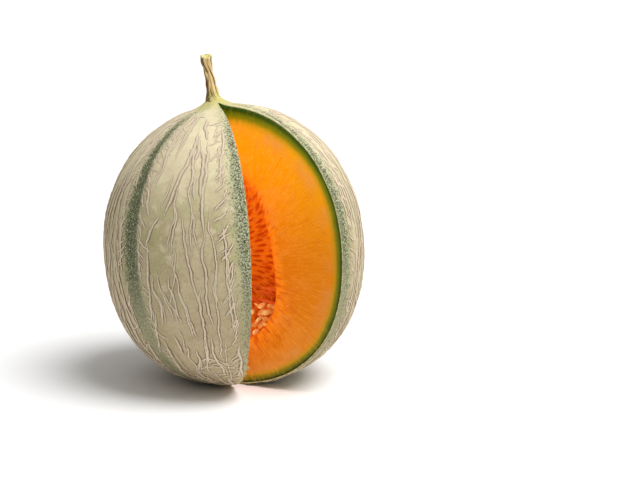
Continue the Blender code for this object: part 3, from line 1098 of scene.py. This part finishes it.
# Seeds: columns round the back of the cavity, and a heap in the pocket at its foot.
seeds = {
    "rows": 7,
    "rowPitch": 0.0072,
    "lowestRow": -0.0295,
    "columns": 6,
    "firstColumn": math.radians(182),
    "columnPitch": math.radians(31.5),
    "pocketColumns": 3,
    "wallGap": 0.0006,
    "heapRows": 6,
    "heapColumns": 4,
    "heapDrop": 0.01,  # of the lowest row, below the pocket's middle
    "heapRise": 0.0033,
    "heapReach": 0.0247,  # of the first column, from the line where the cuts meet
    "heapStep": 0.0038,
    "seed": 5,
    "Seed Length": 0.0112,
    "Seed Width": 0.0044,
    "Seed Thickness": 0.0019,
    "cream": tint(255, 236, 160),
    "amber": tint(236, 180, 84),
    "point": tint(200, 84, 16),
    "pulp": tint(236, 120, 24),
    # strength of the seeds' painted glow
    "glow": 0.1,
}


def cavityWall(azimuth, height):
    off = height - cavity["widest"]
    reach = cavity["up"] if off > 0 else cavity["down"]
    radius = cavity["radius"] * math.sqrt(max(0, 1 - (off / reach) ** 2))
    aside = heading(azimuth)
    inward = -aside * radius / cavity["radius"] ** 2
    inward[2] = -off / reach**2
    return aside * radius + (0, 0, height), inward / np.linalg.norm(inward)


def seedPlaces():
    places = []
    for column in range(seeds["columns"]):
        for row in range(seeds["rows"]):
            places.append((seeds["firstColumn"] + column * seeds["columnPitch"],
                           seeds["lowestRow"] + seeds["rowPitch"] * (row + column % 2 / 2)))
    for column in range(seeds["pocketColumns"]):
        turn = seeds["firstColumn"] - (column + 1) * seeds["columnPitch"]
        height = seeds["lowestRow"] + seeds["rowPitch"] * ((column + 1) % 2) / 2
        places += [(turn, height), (turn, height - seeds["rowPitch"])]
    return places


def makeSeedPoints():
    chance = np.random.default_rng(seeds["seed"])
    spots, facing, across, size = [], [], [], []
    for azimuth, height in seedPlaces():
        spot, inward = cavityWall(azimuth, height)
        spots.append(spot + inward * seeds["wallGap"])
        facing.append(inward)
        across.append((math.cos(azimuth), math.sin(azimuth), 0))
        size.append(1)
    along = heading(wedge["right"])
    inward = cutInward(wedge["right"])
    for row in range(seeds["heapRows"]):
        height = cavity["pocketHeight"] - seeds["heapDrop"] + row * seeds["heapRise"]
        for column in range(seeds["heapColumns"]):
            out = seeds["heapReach"] - column * seeds["heapStep"] + (row % 2) * 0.0018
            out = out - abs(row - 3) * 0.0004 + chance.normal() * 0.0005
            place = heart + upLine * height + along * out + inward * (0.0035 + chance.uniform(0, 0.002))
            if cavityLevel(place) > -0.02:  # too near the wall
                place = place - along * 0.0022
            point = -inward * chance.uniform(0.5, 1) + along * chance.uniform(-0.6, 0.3)
            point = point + (0, 0, chance.normal() * 0.5)
            point /= np.linalg.norm(point)
            spots.append(place - point * seeds["Seed Length"] * 0.4)
            facing.append(point)
            across.append(np.cross(point, chance.normal(size=3)))
            size.append(chance.uniform(0.52, 0.74))
    mesh = bpy.data.meshes.new("seed_places")
    mesh.from_pydata(toFloor(np.array(spots)).tolist(), [], [])
    for name, values in (("facing", facing), ("sideways", across)):
        setAttribute(mesh, name, np.array(values) @ standing[:3, :3].T, "FLOAT_VECTOR")
    setAttribute(mesh, "size", size)
    return mesh


def makeSeedFinish():
    book = Finish("moist_seed", seeds)
    tone = book.noise(book.place, 240)
    point = book.smooth(book.attribute("seedEnd"), 0.45, 0.05)
    rowed = book.smooth(book.attribute("size"), 0.8, 0.95)  # those in rows lie under the pulp
    colour = book.paint(
        book.mix(book.smooth(tone, 0.35, 0.7), "cream", "amber"),
        (point * 0.8, "point"),
        (rowed * 0.8, "pulp"))
    return book.feed({
        "Base Color": colour,
        "Roughness": book.smooth(tone, 0.2, 0.8, 0.25, 0.4),
        "Subsurface Weight": 0.25,
        "Subsurface Scale": 0.002,
        # painted light: the seeds glow in their own colour
        "Emission Color": colour,
        "Emission Strength": seeds["glow"]})


def makeSeeds():
    tree = GeometryBook("melon_seeds", seeds)
    ball = tree.wire("GeometryNodeMeshUVSphere", None, {"Segments": 12, "Rings": 9, "Radius": 1.0})
    x, y, z = tree.parts(tree.position())
    shape = tree.joined({
        "X": x * (1 + z * 0.25) * tree.given("Seed Width") * 0.5,
        "Y": y * (1 - abs(x) * 0.25) * tree.given("Seed Thickness") * 0.5,
        "Z": (z + 1) * 0.5 * tree.given("Seed Length")})
    seed = tree.moved(tree.stored(ball, "seedEnd", (z + 1) * 0.5), {"Position": shape})
    turn = tree.wire("FunctionNodeAxesToRotation", {"primary_axis": "Z", "secondary_axis": "X"},
                     {0: tree.named("facing", "FLOAT_VECTOR"),
                      1: tree.named("sideways", "FLOAT_VECTOR")})
    placed = tree.wire("GeometryNodeInstanceOnPoints", None,
                       {"Points": tree.given("Geometry"), "Instance": seed,
                        "Rotation": turn, "Scale": tree.named("size")})
    tree.finish(placed, makeSeedFinish())
    replaced = [f"seed_{number + 1:02d}" for number in range(len(seedPlaces()))]
    addPiece(tree.grow("seeds", makeSeedPoints()), replaced)


rindPiece = makeRind()
addPiece(makeFleshMesh(), (), makeFleshFinish())
makeNetting(rindPiece)
makeStem()
makeSeeds()


# Camera, light and floor.
studio = {
    "distance": 0.956,
    "down": math.radians(12.0),
    "lens": 106.9,
    "shift": (0.135, 0.0067),
    "keyFrom": (0.43, -0.18, 0.91),
    "keyPower": 2.95,
    "keySoftness": math.radians(38),
    "skyLow": 0.05,  # brightness at the horizon, what the zenith adds, and how much the right adds
    "skyHigh": 0.6,
    "skySide": 0.45,
}


def makeCamera():
    camera = bpy.data.cameras.new("camera")
    holder = newObject("camera", camera)
    camera.sensor_width = 36
    camera.lens = studio["lens"]
    camera.shift_x, camera.shift_y = studio["shift"]
    camera.clip_end = 20
    back = Vector((0, -math.cos(studio["down"]), math.sin(studio["down"])))
    holder.location = Vector((0, 0, restHeight())) + back * studio["distance"]
    holder.rotation_euler = (-back).to_track_quat("-Z", "Y").to_euler()
    scene.camera = holder


def makeSun():
    light = bpy.data.lights.new("key", "SUN")
    light.energy = studio["keyPower"]
    light.angle = studio["keySoftness"]
    holder = newObject("key", light)
    holder.location = studio["keyFrom"]
    holder.rotation_euler = Vector(studio["keyFrom"]).to_track_quat("Z", "Y").to_euler()


def makeSky():
    world = bpy.data.worlds.new("studio")
    world.use_nodes = True
    scene.world = world
    book = Book(world.node_tree)
    sky = world.node_tree.nodes["Background"]
    side, _, high = book.parts(book.wire("ShaderNodeTexCoord", output="Generated"))
    level = studio["skyLow"] + studio["skyHigh"] * high.most(0)
    sky.inputs["Color"].default_value = (1, 1, 1, 1)
    plug(book.tree, sky.inputs["Strength"], level * (1 + studio["skySide"] * side))


def makeFloor():
    shape = bmesh.new()
    bmesh.ops.create_grid(shape, x_segments=1, y_segments=1, size=6)
    mesh = bpy.data.meshes.new("floor")
    shape.to_mesh(mesh)
    shape.free()
    floor = newObject("floor", mesh)
    floor.location.z = -0.0002
    white = {"Base Color": (0.93, 0.93, 0.93, 1), "Roughness": 0.9}
    mesh.materials.append(Finish("white_floor", studio).feed(white))


makeCamera()
makeSun()
makeSky()
makeFloor()
scene.view_settings.view_transform = "Standard"
print("studio made")
